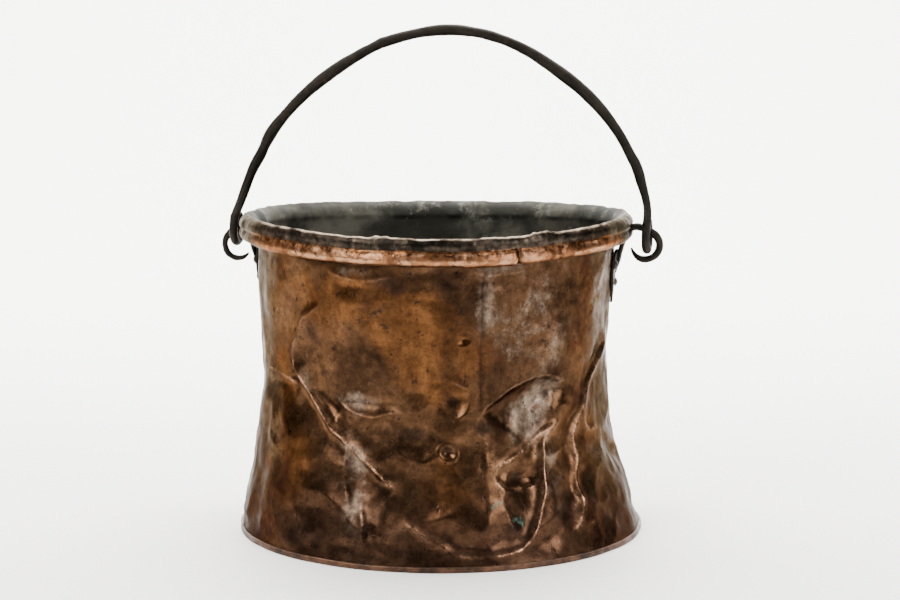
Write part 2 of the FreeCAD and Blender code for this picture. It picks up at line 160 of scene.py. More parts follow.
# ---------------------------------------------------------------- the wall's damage
# Points on the wall are (azimuth in degrees from the middle of the side shown, height in mm).
# A crease: its line, its ridge, how far each side is sunk, how wide the sunk strip is, and how worn it is.
CREASES = (
    # the long fold down the left
    dict(line=((-37, 198), (-44, 186), (-49, 172), (-52, 155), (-51, 141), (-47, 130)), ridge=1.0, left=0.4,
         right=3.6, spread=20, bright=0.3),
    dict(line=((-52, 150), (-50, 138), (-44, 121), (-37, 107), (-32, 96), (-24, 82), (-17, 67), (-12, 56)),
         ridge=2.2, left=0.8, right=4.4, spread=18, bright=1.0),
    dict(line=((-72, 134), (-60, 130), (-51, 128)), ridge=1.0, left=0.4, right=2.6, spread=14, bright=0.35),
    # the scuffed facet beside it
    dict(line=((-44, 128), (-37, 117), (-31, 104), (-29, 90), (-28, 60), (-24, 36)),
         ridge=0.9, left=2.6, right=0.4, spread=13, bright=0.2),
    # dents under the rim
    dict(line=((-35, 222), (-28, 216), (-21, 216), (-13, 221)),
         ridge=1.0, left=0.0, right=3.2, spread=9, bright=0.15),
    dict(line=((9, 228), (14, 223), (21, 222), (29, 227)),
         ridge=1.0, left=0.0, right=3.4, spread=9, bright=0.25),
    # crescent, left of the middle
    dict(line=((-33, 122), (-26, 112), (-20, 110), (-13, 113), (-9, 108)), ridge=1.2, left=4.2, right=0.6,
         spread=14, bright=0.12),
    # round dent in the middle, right edge
    dict(line=((-1, 141), (5, 139), (10, 132), (11, 124), (9, 113), (3, 107)),
         ridge=0.8, left=0.2, right=2.8, spread=11, bright=0.1),
    # big oval dent on the right: upper lip, then the fold under it
    dict(line=((14, 106), (17, 117), (23, 127), (31, 135), (40, 137), (48, 130)),
         ridge=1.4, left=0.4, right=5.4, spread=18, bright=0.15),
    dict(line=((20, 73), (26, 78), (32, 86), (38, 95), (44, 104)), ridge=1.8, left=2.6, right=3.2, spread=12,
         bright=0.6),
    # the hooked crease below it
    dict(line=((27, 76), (20, 73), (18, 65), (21, 57), (27, 54), (32, 57), (35, 66)),
         ridge=1.4, left=3.2, right=0.2, spread=9, bright=0.6),
    # the long crease that runs down and back along the foot
    dict(line=((44, 103), (38, 90), (36, 75), (34, 54), (31, 39), (28, 26), (24, 15), (15, 10), (5, 11),
               (1, 19), (-4, 26), (-10, 37)),
         ridge=1.6, left=0.6, right=3.6, spread=15, bright=0.45),
    # the right-hand crease
    dict(line=((78, 156), (74, 146), (66, 134), (61, 123), (58, 111), (53, 97), (50, 84), (50, 69), (47, 53),
               (48, 41), (45, 31), (40, 19)), ridge=2.0, left=0.8, right=4.2, spread=14, bright=0.7),
    dict(line=((58, 108), (57, 96), (60, 90), (66, 91)),
         ridge=1.6, left=2.6, right=0.3, spread=8, bright=0.6),
    dict(line=((50, 82), (42, 77), (35, 75)), ridge=1.0, left=2.0, right=0.6, spread=10, bright=0.2),
    dict(line=((55, 40), (58, 26), (58, 12)), ridge=1.2, left=0.5, right=2.2, spread=10, bright=0.25),
    dict(line=((68, 88), (76, 74), (90, 60)), ridge=1.2, left=0.6, right=2.6, spread=14, bright=0.4),
    # small folds low on the left
    dict(line=((-23, 50), (-21, 30), (-22, 12)), ridge=1.2, left=1.8, right=0.4, spread=9, bright=0.3),
    dict(line=((-48, 42), (-43, 26), (-42, 12)), ridge=1.0, left=1.4, right=0.4, spread=9, bright=0.3),
    # round the back, which is as battered
    dict(line=((112, 190), (120, 168), (134, 150), (140, 120)),
         ridge=1.8, left=0.6, right=4.0, spread=17, bright=0.8),
    dict(line=((150, 90), (163, 74), (180, 66), (196, 74)),
         ridge=1.6, left=3.6, right=0.8, spread=15, bright=0.5),
    dict(line=((-150, 170), (-138, 150), (-133, 120), (-140, 96)), ridge=1.8, left=0.6, right=4.0, spread=16,
         bright=0.7),
    dict(line=((-112, 70), (-104, 48), (-98, 22)), ridge=1.4, left=0.8, right=2.8, spread=13, bright=0.4),
    dict(line=((100, 44), (110, 28), (126, 16)), ridge=1.2, left=0.4, right=2.8, spread=13, bright=0.4),
)

# Dents: place, half-sizes along the girth and up, lean, depth, and how high the lip round it is
DENTS = (
    dict(at=(9, 173), half=(4.5, 4.0), lean=20, depth=2.2, lip=0.5),
    dict(at=(4, 85), half=(4.4, 3.6), lean=-20, depth=2.8, lip=0.9),
    dict(at=(5, 123), half=(9, 8), lean=0, depth=1.6, lip=0.2),
    dict(at=(33, 112), half=(34, 17), lean=32, depth=5.0, lip=0.0),
    dict(at=(32, 124), half=(5, 4), lean=0, depth=0.9, lip=0.3),
    dict(at=(27, 63), half=(13, 9), lean=0, depth=2.8, lip=0.0),
    dict(at=(-22, 123), half=(20, 12), lean=-5, depth=3.0, lip=0.0),
    dict(at=(-42, 152), half=(13, 26), lean=-8, depth=3.0, lip=0.0),
    dict(at=(-36, 84), half=(22, 24), lean=15, depth=-1.6, lip=0.0),
    dict(at=(-24, 57), half=(16, 18), lean=10, depth=2.0, lip=0.0),
    dict(at=(16, 212), half=(8, 9), lean=0, depth=-1.2, lip=0.0),
    dict(at=(-26, 208), half=(24, 12), lean=0, depth=-1.4, lip=0.0),
    dict(at=(-64, 118), half=(20, 24), lean=0, depth=2.2, lip=0.0),
    dict(at=(-10, 96), half=(20, 13), lean=-12, depth=2.0, lip=0.0),
    dict(at=(68, 108), half=(16, 26), lean=10, depth=4.2, lip=0.0),
    dict(at=(76, 66), half=(24, 22), lean=0, depth=1.6, lip=0.0),
    dict(at=(60, 70), half=(11, 16), lean=0, depth=2.0, lip=0.0),
    dict(at=(41, 48), half=(10, 20), lean=6, depth=2.2, lip=0.0),
    dict(at=(14, 34), half=(24, 13), lean=0, depth=-1.8, lip=0.0),
    dict(at=(126, 140), half=(26, 30), lean=10, depth=4.5, lip=0.0),
    dict(at=(178, 96), half=(34, 22), lean=0, depth=5.0, lip=0.0),
    dict(at=(-150, 120), half=(24, 30), lean=0, depth=4.0, lip=0.0),
    dict(at=(150, 196), half=(10, 8), lean=0, depth=2.0, lip=0.4),
    dict(at=(-118, 182), half=(12, 9), lean=0, depth=2.2, lip=0.4),
)

# Patches of colour: place, half-sizes along the girth and up, lean, strength
PATCHES = {
    # pale grey patina, and painted sheen where facets, ridges and the dents under the rim face the light
    "ash_and_sheen": (
        dict(at=(-24, 121), half=(21, 9), lean=-8, much=0.9),
        dict(at=(-45, 128), half=(7, 22), lean=28, much=0.75),
        dict(at=(-26, 84), half=(13, 20), lean=25, much=0.75),
        dict(at=(-24, 42), half=(14, 32), lean=0, much=0.85),
        dict(at=(-26, 223), half=(22, 7), lean=0, much=0.7),
        dict(at=(19, 226), half=(17, 5), lean=0, much=0.7),
        dict(at=(33, 180), half=(38, 52), lean=0, much=0.68),
        dict(at=(15, 200), half=(7, 20), lean=0, much=0.8),
        dict(at=(33, 110), half=(34, 15), lean=40, much=1.0),
        dict(at=(38, 60), half=(17, 34), lean=0, much=0.7),
        dict(at=(60, 60), half=(16, 40), lean=0, much=0.45),
        dict(at=(68, 190), half=(30, 46), lean=0, much=0.75),
        dict(at=(-70, 190), half=(14, 36), lean=0, much=0.3),
        dict(at=(130, 150), half=(40, 40), lean=20, much=0.8),
        dict(at=(185, 80), half=(44, 26), lean=0, much=0.9),
        dict(at=(-150, 130), half=(34, 40), lean=0, much=0.8),
        dict(at=(-120, 60), half=(20, 36), lean=0, much=0.7),
    ),
    "amber": (
        dict(at=(-2, 165), half=(44, 52), lean=0, much=1.0),
        dict(at=(-30, 195), half=(40, 28), lean=0, much=0.7),
        dict(at=(-60, 120), half=(26, 60), lean=0, much=0.45),
        dict(at=(-50, 60), half=(30, 32), lean=0, much=0.7),
        dict(at=(4, 50), half=(30, 30), lean=0, much=0.45),
        dict(at=(84, 90), half=(20, 50), lean=0, much=0.3),
        dict(at=(110, 190), half=(50, 30), lean=0, much=0.9),
        dict(at=(160, 150), half=(40, 50), lean=0, much=0.9),
        dict(at=(-120, 150), half=(40, 60), lean=0, much=0.8),
        dict(at=(-160, 50), half=(50, 30), lean=0, much=0.5),
    ),
    "green": (
        dict(at=(17, 47), half=(9, 3.5), lean=12, much=0.8),
        dict(at=(23, 33), half=(8, 5), lean=-15, much=0.9),
        dict(at=(-31, 151), half=(4, 3), lean=0, much=0.7),
        dict(at=(-118, 30), half=(9, 6), lean=0, much=0.8),
        dict(at=(168, 40), half=(8, 8), lean=0, much=0.8),
    ),
    # soot and dark tarnish, and painted shade inside the dents
    "soot_and_dent_shade": (
        dict(at=(-8, 97), half=(34, 9), lean=-4, much=0.9),
        dict(at=(16, 102), half=(12, 10), lean=0, much=1.0),
        dict(at=(26, 63), half=(11, 8), lean=0, much=0.9),
        dict(at=(4, 85), half=(6, 5), lean=0, much=1.0),
        dict(at=(6, 123), half=(7, 6), lean=0, much=0.9),
        dict(at=(22, 30), half=(22, 18), lean=0, much=0.8),
        dict(at=(-45, 16), half=(40, 12), lean=0, much=0.8),
        dict(at=(-8, 14), half=(40, 10), lean=0, much=0.6),
        dict(at=(-42, 170), half=(12, 22), lean=0, much=0.6),
        dict(at=(-4, 214), half=(50, 12), lean=0, much=0.7),
        dict(at=(-66, 138), half=(14, 14), lean=0, much=0.7),
        dict(at=(57, 112), half=(10, 20), lean=0, much=0.7),
        dict(at=(68, 60), half=(10, 30), lean=0, much=0.6),
        dict(at=(140, 100), half=(50, 16), lean=0, much=0.8),
        dict(at=(-170, 190), half=(50, 20), lean=0, much=0.8),
        dict(at=(-100, 110), half=(20, 30), lean=0, much=0.7),
    ),
}

MEAN_R = 140
GIRTH_PER_DEGREE = math.pi * MEAN_R / 180
UNEVENNESS = 0.6  # how much a crease's height and wear vary along it
WANDER_ROUND, WANDER_UP = 0.9, 2.0  # how far a crease strays from its line, in degrees and mm
CREASE_FADE = 14  # a crease fades out over this length at each end
RIDGE_REACH, RIDGE_HEIGHT = 8.0, 0.55  # a ridge's reach, and its height as a share of the table's
SINK_REACH, SINK_DEPTH = 6.0, 1.55  # how soon a side sinks beside its ridge, and how far, likewise
SINK_EDGE = 1.6  # how sharply the sunk strip ends
WORN_LINE, WORN_HALO = (0.85, 0.9), (0.3, 4.5)  # strength and half-width of the bright metal along a ridge
WORN_BEYOND = 0.2  # the share of it that shows off the wall's outside
DENT_LIP_AT, DENT_LIP_WIDTH = 1.5, 0.35  # where the lip round a dent lies, as shares of its half-sizes
PATCH_EDGE = 0.9  # how sharply a colour patch ends


def arc_gap(a, b):
    """Signed difference of two azimuths in degrees, the short way round."""
    return (a - b + 180) % 360 - 180


def smoothed(line, steps=4):
    """The same line with rounded corners."""
    p = np.array([line[0], *line, line[-1]], float)
    out = []
    for i in range(1, len(p) - 2):
        for t in np.arange(steps) / steps:
            a = 2 * p[i]
            b = (p[i + 1] - p[i - 1]) * t
            c = (2 * p[i - 1] - 5 * p[i] + 4 * p[i + 1] - p[i + 2]) * t**2
            d = (3 * p[i] - p[i - 1] - 3 * p[i + 1] + p[i + 2]) * t**3
            out.append((a + b + c + d) / 2)
    return [*out, p[-1]]


def crease_distance(azimuth, z, line):
    """Distance from a crease's line, which side of it (+1: left of its run), and its strength there."""
    best = np.full(z.shape, 1e9)
    side = np.ones(z.shape)
    along = np.zeros(z.shape)
    total = 0.0
    rounded = smoothed(line)
    for (a0, z0), (a1, z1) in zip(rounded, rounded[1:]):
        px, pz = arc_gap(azimuth, a0) * GIRTH_PER_DEGREE, z - z0
        dx, dz = (a1 - a0) * GIRTH_PER_DEGREE, z1 - z0
        length = math.hypot(dx, dz)
        t = np.clip((px * dx + pz * dz) / length**2, 0, 1)
        gap = np.hypot(px - t * dx, pz - t * dz)
        nearer = gap < best
        best = np.where(nearer, gap, best)
        side = np.where(nearer, np.sign(dx * pz - dz * px), side)
        along = np.where(nearer, total + t * length, along)
        total += length
    return best, side, np.minimum(smooth(0, CREASE_FADE, along), smooth(0, CREASE_FADE, total - along))


def oval_reach(azimuth, z, oval):
    """Distance from an oval's centre, as a share of its half-sizes."""
    x = arc_gap(azimuth, oval["at"][0]) * GIRTH_PER_DEGREE
    y = z - oval["at"][1]
    lean = math.radians(oval["lean"])
    u = (x * math.cos(lean) + y * math.sin(lean)) / oval["half"][0]
    v = (-x * math.sin(lean) + y * math.cos(lean)) / oval["half"][1]
    return np.hypot(u, v)


def rough(x, y, z, scale, seed, octaves):
    """Smooth noise about zero, at points given in mm."""
    shift = Vector((seed * 17.3, seed * 5.1, -seed * 9.7))
    flat = np.stack([np.ravel(x), np.ravel(y), np.ravel(z)], 1) / scale
    values = [noise.fractal(Vector(p) + shift, ROUGH_FALLOFF, ROUGH_STEP, octaves) for p in flat]
    return np.array(values).reshape(np.shape(x))


def wall_damage(azimuth, z):
    """How far the sheet is pushed out (mm), and a mask of its worn ridges."""
    push = np.zeros(z.shape)
    worn = np.zeros(z.shape)
    turn = np.radians(azimuth)
    round_x, round_y = MEAN_R * np.sin(turn), MEAN_R * np.cos(turn)
    wander = rough(round_x, round_y, z, *CREASE_WANDER)
    uneven = 1 + UNEVENNESS * rough(round_x, round_y, z, *CREASE_UNEVEN)
    for c in CREASES:
        gap, side, fade = crease_distance(azimuth + WANDER_ROUND * wander, z - WANDER_UP * wander, c["line"])
        ridge = c["ridge"] * uneven * np.exp(-gap / RIDGE_REACH)
        sunk = np.where(side > 0, c["left"], c["right"])
        slope = (1 - np.exp(-gap / SINK_REACH)) * np.exp(-((gap / c["spread"]) ** SINK_EDGE))
        push += fade * (RIDGE_HEIGHT * ridge - SINK_DEPTH * sunk * slope)
        worn += WORN_LINE[0] * c["bright"] * fade * uneven * bell(gap, 0, WORN_LINE[1])
        worn += WORN_HALO[0] * c["bright"] ** 2 * fade * bell(gap, 0, WORN_HALO[1])
    for d in DENTS:
        reach = oval_reach(azimuth, z, d)
        push += -d["depth"] * bell(reach, 0, 1) + d["lip"] * bell(reach, DENT_LIP_AT, DENT_LIP_WIDTH)
    crumple = np.abs(rough(round_x, round_y, z, *CRUMPLE))
    push -= crumple * between(*CRUMPLE_DEPTHS, smooth(*CRUMPLED_BELOW, z))
    return push, np.clip(worn, 0, 1)


def patch_mask(azimuth, z, patches):
    """Soft-edged sum of colour patches."""
    total = np.zeros(z.shape)
    for p in patches:
        reach = oval_reach(azimuth, z, p)
        total += p["much"] * np.exp(-(reach**2) * PATCH_EDGE)
    return np.clip(total, 0, 1)


def rim_drop(azimuth, z):
    """The rim sags towards the front and the back."""
    sag = RIM_DROP / 2 * (1 - np.cos(2 * np.radians(azimuth - 90)))
    behind = smooth(*BACK_FROM, np.abs(arc_gap(azimuth, 0)))
    return -sag * (1 - BACK_DROP_LESS * behind) * smooth(*RIM_DROP_FROM, z)


def rim_push(azimuth, z):
    """The roll is knocked about: pressed in beside the left ear, and wavy."""
    push = sum(depth * np.sin(np.radians(azimuth * waves + phase)) for depth, waves, phase in RIM_WAVES)
    for at, half_width, depth in RIM_KNOCKS:
        push += depth * bell(arc_gap(azimuth, at), 0, half_width)
    return push * smooth(*KNOCKS_FROM, z)


# ---------------------------------------------------------------- small helpers for meshes
def new_mesh(name, verts, faces):
    """A smooth-shaded object, linked to the scene."""
    mesh = bpy.data.meshes.new(name)
    mesh.from_pydata([tuple(v) for v in verts], [], [tuple(f) for f in faces])
    mesh.polygons.foreach_set("use_smooth", [True] * len(mesh.polygons))
    mesh.update()
    obj = bpy.data.objects.new(name, mesh)
    bpy.context.scene.collection.objects.link(obj)
    return obj


def grid_faces(rows, columns):
    """Quads of a grid whose last column joins its first, and whose last row joins its first."""
    r, c = np.meshgrid(np.arange(rows), np.arange(columns), indexing="ij")
    a = r * columns + c
    b = r * columns + (c + 1) % columns
    d = ((r + 1) % rows) * columns + c
    e = ((r + 1) % rows) * columns + (c + 1) % columns
    return np.stack([a, b, e, d], -1).reshape(-1, 4)


def add_mask(obj, name, values):
    layer = obj.data.attributes.new(name, "FLOAT", "POINT")
    layer.data.foreach_set("value", np.asarray(values, np.float32).ravel())


def azimuths():
    """Columns round the wall: fine on the side shown, coarser behind."""
    return np.concatenate([np.arange(*FINE_COLUMNS), np.arange(*BACK_COLUMNS)])


def place(azimuth, radius, z, centre_x):
    """Points in the part's frame, in metres, from azimuth, radius and height."""
    a = np.radians(azimuth) + SHOWN_TURN
    return np.stack([centre_x + radius * np.sin(a), -radius * np.cos(a), z], -1) * MM


def arc(centre, half, start, stop, step):
    """Points of an ellipse's arc, its angles counted from straight down towards the outside."""
    turns = [math.radians(a) for a in range(start, stop, step)]
    return [(centre[0] + half[0] * math.sin(t), centre[1] - half[1] * math.cos(t)) for t in turns]


# ---------------------------------------------------------------- the wall with its rolled rim
def rim_profile():
    """The roll's outline: from the lip under it over a bead and a flat band to the crest and inside."""
    bead = arc((BEAD_R, BEAD_Z), BEAD_HALF, 0, 151, 10)
    return [*LIP_TURN, *bead, *BAND_LINE, *CREST_LINE, *INNER_LINE]


def wall_rows():
    """The mesh's rows, up the outside, over the rim and down the inside: kind, radius on the rim, height."""
    outer = [*np.arange(*FOOT_ROWS), *np.arange(FOOT_ROWS[1], LIP_Z + 1, OUTER_STEP)]
    rows = [("outer", 0.0, z) for z in outer]
    rows += [("rim", r, z) for r, z in rim_profile()]
    rows += [("inner", 0.0, z) for z in np.arange(*INNER_ROWS)]
    return rows


def band_push(radius, z, rim_r, on_rim, sides):
    """How far the flat band is pushed out at the sides, where the rim keeps its full round."""
    above = np.clip(z - RIM_TOP + ROLL_R, 0, None)
    full_round = RIM_R - ROLL_R + np.sqrt(np.clip(ROLL_R**2 - above**2, 0, None))
    on_band = smooth(BAND_Z - 2, BAND_Z, z) * on_rim * (rim_r > BAND_MIN_R)
    return sides * on_band * np.clip(full_round - radius, 0, None)


def torn_flaps(azimuth):
    """Where the crest stands up in torn flaps."""
    return sum(smooth(a, b, azimuth) * smooth(d, c, azimuth) for a, b, c, d in TORN_FLAPS)


def seam_shapes(azimuth, z):
    """The side seam: the sheet's step outwards, and the dark line beside it."""
    seam_at = SEAM_AT - SEAM_LEAN * smooth(*SEAM_LEAN_BELOW, z)
    past = arc_gap(azimuth, seam_at) * GIRTH_PER_DEGREE
    lap = smooth(-SEAM_SOFT, SEAM_SOFT, past) * np.exp(-np.clip(past, 0, None) / SEAM_FADE)
    step = between(*SEAM_STEPS, smooth(*SEAM_STEP_FROM, z)) * lap
    line = bell(past, *SEAM_LINE) * between(*SEAM_DARKNESS, smooth(*SEAM_LINE_FROM, z))
    return step, line


def lip_shapes(azimuth):
    """The lip's lapped patch, and the breaks at its end and beyond it."""
    start, stop = LIP_LAP
    stopped = smooth(stop - LAP_SHARP, stop + LAP_SHARP, azimuth)
    patch = smooth(start, start + LAP_SOFT, azimuth) * (1 - stopped)
    breaks = sum(strength * bell(azimuth, at, LIP_BREAK_WIDTH) for at, strength in LIP_BREAKS)
    return patch, breaks


def build_wall():
    around = azimuths()
    rows = wall_rows()
    azimuth = np.tile(around, (len(rows), 1))
    level = np.tile(np.array([row[2] for row in rows])[:, None], (1, len(around)))
    rim_r = np.array([row[1] for row in rows])[:, None]
    kind = np.array([row[0] for row in rows])[:, None]
    outside = np.where(kind == "outer", 1, 0)
    inside = np.where(kind == "inner", 1, 0)
    on_rim = np.where(kind == "rim", 1, 0)
    sides = smooth(*SIDES_FROM, np.abs(arc_gap(azimuth, 0)))

    centre = lookup(level, 1)
    radius = np.where(on_rim, rim_r, lookup(level, 2) - SHEET * inside)
    radius = radius + band_push(radius, level, rim_r, on_rim, sides)

    # dents, and the sheet's own waves
    push, worn = wall_damage(azimuth, level)
    damaged = smooth(*DAMAGE_FROM, level) * (1 - smooth(*DAMAGE_TO, level))
    spots = np.moveaxis(place(azimuth, radius, level, centre) / MM, -1, 0)
    waves = SLOW_DEPTH * rough(*spots, *SLOW_WAVES) + QUICK_DEPTH * rough(*spots, *QUICK_WAVES)
    radius = radius + (push + waves) * damaged + rim_push(azimuth, level)

    # the rim's roughness, its sag, the bead's sag and the torn crest
    ragged = smooth(*RAGGED_FROM, level) * np.where(inside, INNER_SHARE, 1.0)
    lumps = rough(*spots, *RIM_LUMPS)
    bends = rough(*spots, *RIM_BENDS)
    radius = radius + (LUMP_DEPTH * lumps + BEND_DEPTH * bends) * ragged
    rise = (LUMP_DEPTH * lumps + BEND_RISE * bends - RAGGED_SINK) * ragged
    torn = torn_flaps(azimuth) * (TORN_RISE + TORN_LUMPS * lumps) * smooth(*TORN_FROM, level)
    bead_sag = BEAD_SAG * smooth(*FRONT_TO, np.abs(azimuth)) * smooth(*BEAD_SAG_BELOW, level)
    height = level + rim_drop(azimuth, level) + rise + (torn - bead_sag) * on_rim

    # the side seam, and the lap in the lip
    seam_step, seam_line = seam_shapes(azimuth, level)
    radius = radius + seam_step * outside * damaged
    patch, notch = lip_shapes(azimuth)
    bead = smooth(*BEAD_BELOW, level) * on_rim
    radius = radius + (LIP_PATCH * patch - LIP_NOTCH * notch) * bead
    height = height - LIP_TUCK * (patch - notch) * smooth(*LIP_TUCK_BELOW, level) * on_rim

    verts = place(azimuth, radius, height, centre).reshape(-1, 3)
    wall = new_mesh("wall", verts, grid_faces(len(rows), len(around)))
    full = np.ones_like(level)
    over_crest = smooth(*CREST_INNER_R, rim_r) * on_rim
    lip_edge = sum(strength * bell(level, at, half_width) for at, half_width, strength in LIP_EDGES)
    notched = np.clip(notch, 0, 1)
    add_mask(wall, "worn", worn * np.where(outside, 1, WORN_BEYOND) * damaged)
    add_mask(wall, "seam", seam_line * outside * damaged)
    add_mask(wall, "crest", smooth(*CREST_WORN_FROM, level) * on_rim)
    add_mask(wall, "rim_worn", np.clip(lip_edge, 0, 1) * on_rim * (1 - notched))
    add_mask(wall, "notch", notched * bead)
    add_mask(wall, "inside", np.where(inside, 1.0, over_crest) * full)
    add_mask(wall, "roll", on_rim * (1 - over_crest) * full)
    add_mask(wall, "height", level)
    add_mask(wall, "sides", sides)
    for name, patches in PATCHES.items():
        add_mask(wall, name, patch_mask(azimuth, level, patches))
    return wall


# ---------------------------------------------------------------- the foot
def foot_profile():
    """Half of the base plate's outline: out along the underside, round the folded edge and back inside."""
    middle_r = FOOT_R - FOLD_ROUND
    flat_r = (120.0, 60.0, 0.0)
    under = [(r, 0.0) for r in (*reversed(flat_r), 150.0, 158.6)]
    low_turn = arc((middle_r, FOLD_ROUND), (FOLD_ROUND, FOLD_ROUND), 0, 91, 18)
    high_turn = arc((middle_r, FOLD_TOP - FOLD_ROUND), (FOLD_ROUND, FOLD_ROUND), 90, 181, 18)
    fold = [(158.4, FOLD_TOP), (FOLD_INNER_R, FOLD_TOP - 0.5), (FOLD_INNER_R, 3.0), (157.0, PLATE)]
    return [*under, *low_turn, *high_turn, *fold, *((r, PLATE) for r in flat_r)]


def foot_point(azimuth, r, z):
    """A point of the base plate, a little uneven and with shallow knocks round its edge."""
    turn = math.radians(azimuth)
    uneven = sum(depth * math.sin(waves * turn + phase) for depth, waves, phase in FOOT_WAVES)
    knock = FOOT_KNOCK * abs(math.sin(FOOT_KNOCKS * turn)) ** FOOT_KNOCK_EDGE
    outer = smooth(*FOOT_UNEVEN_FROM, r)
    r = r + (FOOT_WAVES_OUT * uneven - knock - FOOT_IN) * outer
    z = z + (FOOT_WAVES_UP * uneven - FOOT_DOWN) * outer * smooth(*FOLD_RISE, z)
    return (r * math.sin(turn) * MM, -r * math.cos(turn) * MM, max(z, 0) * MM)


def build_foot():
    """The base plate with its folded edge."""
    around = np.arange(0, 360, 1.0)
    verts, rows = [], []
    for r, z in foot_profile():
        ring = around if r else [0.0]
        rows.append(range(len(verts), len(verts) + len(ring)))
        verts += [foot_point(a, r, z) for a in ring]
    faces = []
    for low, high in zip(rows, rows[1:]):
        for i in range(len(around)):
            j = (i + 1) % len(around)
            if len(low) == 1:
                faces.append((low[0], high[j], high[i]))
            elif len(high) == 1:
                faces.append((low[i], low[j], high[0]))
            else:
                faces.append((low[i], low[j], high[j], high[i]))
    foot = new_mesh("foot", verts, faces)
    x, y, z = np.array(verts).T / MM
    add_mask(foot, "inside", (np.hypot(x, y) < FOOT_TINNED[0]) & (z > FOOT_TINNED[1]))
    return foot


# ---------------------------------------------------------------- the hoop in the rim
def build_hoop():
    """The iron hoop, which follows the rim's sag and knocks."""
    around = np.arange(0, 360, 2.0)
    ring = np.radians(np.arange(0, 360, 30))
    azimuth, turn = np.meshgrid(around, ring, indexing="ij")
    rim_level = np.full(azimuth.shape, HOOP_FOLLOWS)
    radius = RIM_R - ROLL_R + HOOP_WIRE_R * np.cos(turn) + rim_push(azimuth, rim_level)
    z = HOOP_Z + HOOP_WIRE_R * np.sin(turn) + rim_drop(azimuth, rim_level)
    verts = place(azimuth, radius, z, np.full(azimuth.shape, HOOP_X)).reshape(-1, 3)
    return new_mesh("hoop", verts, grid_faces(len(around), len(ring)))


# ---------------------------------------------------------------- forged iron: CAD shapes, hammered
FLAT_LIMITS = (-0.5, 0.25)  # hammer flats are noise cut off at these values
SCALE_SHARE = 0.12  # the iron's scale is this share of the hammer flats' depth


def hammered(node, name, voxel, strokes, depth, seed):
    """A copy of a CAD node as an even mesh, with hammer flats and scale beaten into it."""
    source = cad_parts[node]
    obj = bpy.data.objects.new(name, source.data.copy())
    bpy.context.scene.collection.objects.link(obj)
    obj.data.materials.clear()
    remesh = obj.modifiers.new("even", "REMESH")
    remesh.mode = "VOXEL"
    remesh.voxel_size = voxel * MM
    bpy.context.view_layer.update()
    mesh = bpy.data.meshes.new_from_object(obj.evaluated_get(bpy.context.evaluated_depsgraph_get()))
    obj.modifiers.clear()
    obj.data = mesh
    mesh.name = name
    co = np.zeros(len(mesh.vertices) * 3)
    normal = np.zeros(len(mesh.vertices) * 3)
    mesh.vertices.foreach_get("co", co)
    mesh.vertices.foreach_get("normal", normal)
    co, normal = co.reshape(-1, 3), normal.reshape(-1, 3)
    spots = co.T / MM
    flats = np.clip(rough(*spots, strokes, seed, 1), *FLAT_LIMITS) - FLAT_LIMITS[1]
    fine = rough(*spots, strokes / 4, seed + 5, 3)
    beat = depth * flats + SCALE_SHARE * depth * (fine - 0.5)
    co = co + normal * beat[:, None] * MM
    mesh.vertices.foreach_set("co", co.ravel())
    mesh.polygons.foreach_set("use_smooth", [True] * len(mesh.polygons))
    mesh.update()
    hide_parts(node)
    return obj


# ---------------------------------------------------------------- materials
def rgb(r, g, b):
    return (r, g, b, 1.0)


# The dark and the light colour of each mottled surface
MOTTLES = {
    "brown": (rgb(0.028, 0.0135, 0.0065), rgb(0.078, 0.038, 0.018)),
    "amber": (rgb(0.040, 0.0165, 0.006), rgb(0.105, 0.043, 0.0145)),
    "dust": (rgb(0.034, 0.024, 0.015), rgb(0.095, 0.072, 0.048)),
    # pale grey patina, also used as painted sheen on facets that face the light
    "ash_and_sheen": (rgb(0.070, 0.045, 0.030), rgb(0.205, 0.150, 0.108)),
    "band": (rgb(0.010, 0.008, 0.006), rgb(0.062, 0.045, 0.033)),
    "bead": (rgb(0.045, 0.018, 0.009), rgb(0.25, 0.105, 0.046)),
    "crust": (rgb(0.030, 0.013, 0.007), rgb(0.15, 0.060, 0.022)),
    "olive": (rgb(0.034, 0.027, 0.018), rgb(0.155, 0.128, 0.092)),
    "tin": (rgb(0.014, 0.014, 0.010), rgb(0.056, 0.053, 0.041)),
    "foot": (rgb(0.024, 0.013, 0.008), rgb(0.105, 0.050, 0.027)),
    "rivet": (rgb(0.018, 0.012, 0.009), rgb(0.060, 0.042, 0.030)),
    "iron": (rgb(0.004, 0.0032, 0.0025), rgb(0.013, 0.010, 0.0075)),
    "floor": (rgb(0.93, 0.925, 0.905), rgb(0.95, 0.945, 0.925)),
}
TIN_BLOOM = rgb(0.20, 0.195, 0.165)
FOOT_BROWN = rgb(0.032, 0.016, 0.010)
# soot and dark tarnish, also the painted shade inside the dents
SOOT_AND_DENT_SHADE = rgb(0.016, 0.009, 0.006)
RED_BLOT = rgb(0.050, 0.016, 0.009)
BLACK_SPECK = rgb(0.018, 0.011, 0.008)
SEAM_SHADOW = rgb(0.018, 0.009, 0.006)
WORN_COPPER = rgb(0.50, 0.27, 0.16)
WORN_BEAD = rgb(0.38, 0.20, 0.11)
NOTCH_BLACK = rgb(0.010, 0.006, 0.004)
CREST_GREY = rgb(0.30, 0.235, 0.18)
VERDIGRIS = rgb(0.03, 0.085, 0.062)
GRIME = rgb(0.03, 0.02, 0.015)
RUST = rgb(0.040, 0.022, 0.014)


def new_material(name):
    """A material, a Graph of its nodes, and its shader."""
    mat = bpy.data.materials.new(name)
    mat.use_nodes = True
    tree = mat.node_tree
    return mat, Graph(tree), tree.nodes["Principled BSDF"]


